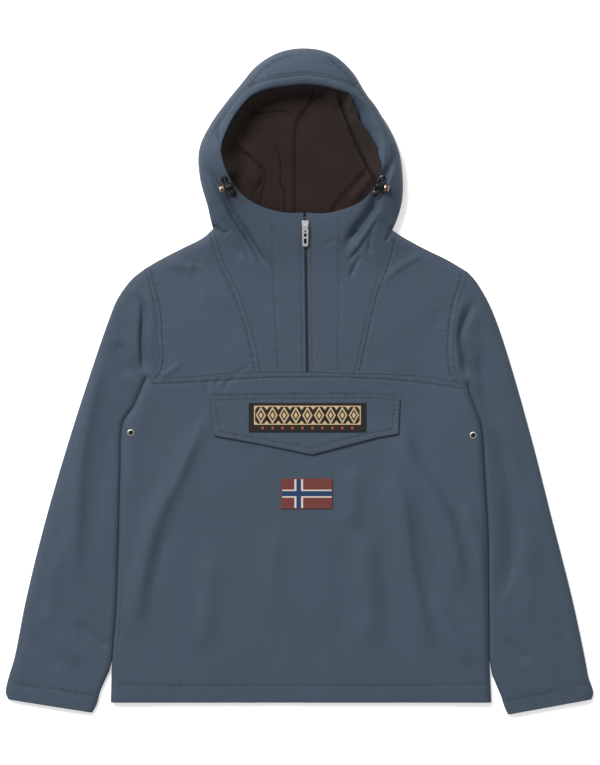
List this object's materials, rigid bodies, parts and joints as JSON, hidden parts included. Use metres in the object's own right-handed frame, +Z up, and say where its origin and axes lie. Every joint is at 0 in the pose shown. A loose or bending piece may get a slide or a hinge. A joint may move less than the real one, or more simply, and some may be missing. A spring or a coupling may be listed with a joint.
{
  "type": "anorak pullover",
  "caption": "Padded pullover anorak with a lined hood, half zip and chest pocket flap, laid flat on its back with the sleeves at its sides.",
  "frame": {"origin": "on the surface the garment lies on, under the middle of its outline", "axes": "+X to the right of the laid-out garment seen from above, +Y from the hem towards the hood, +Z up off the surface"},
  "size_m": [0.9231, 1.051, 0.0495],
  "materials": {
    "shell_cloth": "matte slate blue woven nylon",
    "lining_fleece": "dark brown brushed jersey",
    "label_weave": "black woven badge with tan and orange yarns",
    "flag_weave": "embroidered badge, faded red with a white and blue cross",
    "zip_tape": "dark navy zip tape",
    "zip_metal": "bright satin",
    "fitting_metal": "antique, polished edges",
    "black_plastic": "satin black",
    "elastic_cord": "black braided elastic"
  },
  "bodies": {
    "garment": {"body_back": "shell_cloth", "body_front": "shell_cloth", "yoke_left": "shell_cloth", "yoke_right": "shell_cloth", "inset_left": "shell_cloth", "inset_right": "shell_cloth", "sleeve_left": "shell_cloth", "sleeve_right": "shell_cloth", "hood_side_left": "shell_cloth", "hood_side_right": "shell_cloth", "hood_crown": "shell_cloth", "hood_band": "shell_cloth", "hood_lining_left": "lining_fleece", "hood_lining_centre": "lining_fleece", "hood_lining_right": "lining_fleece", "pocket_flap": "shell_cloth", "label_badge": "label_weave", "flag_badge": "flag_weave", "zip_tape": "zip_tape", "zip_slider": "zip_metal", "cord_lock_left": "black_plastic", "cord_lock_right": "black_plastic", "lock_button_left": "fitting_metal", "lock_button_right": "fitting_metal", "drawcord_left": "elastic_cord", "drawcord_right": "elastic_cord", "eyelet_side_left": "fitting_metal", "eyelet_side_right": "fitting_metal", "eyelet_top_left": "fitting_metal", "eyelet_top_right": "fitting_metal", "eyelet_foot_left": "fitting_metal", "eyelet_foot_right": "fitting_metal"},
    "pull_tab": {"zip_pull": "zip_metal"}
  },
  "joints": [
    {"name": "pull_swing", "type": "hinge", "parent": "garment", "child": "pull_tab", "pos_m": [0.00901, 0.24648, 0.0244], "axis": [-1, 0, 0], "range_deg": [0, 150]}
  ]
}
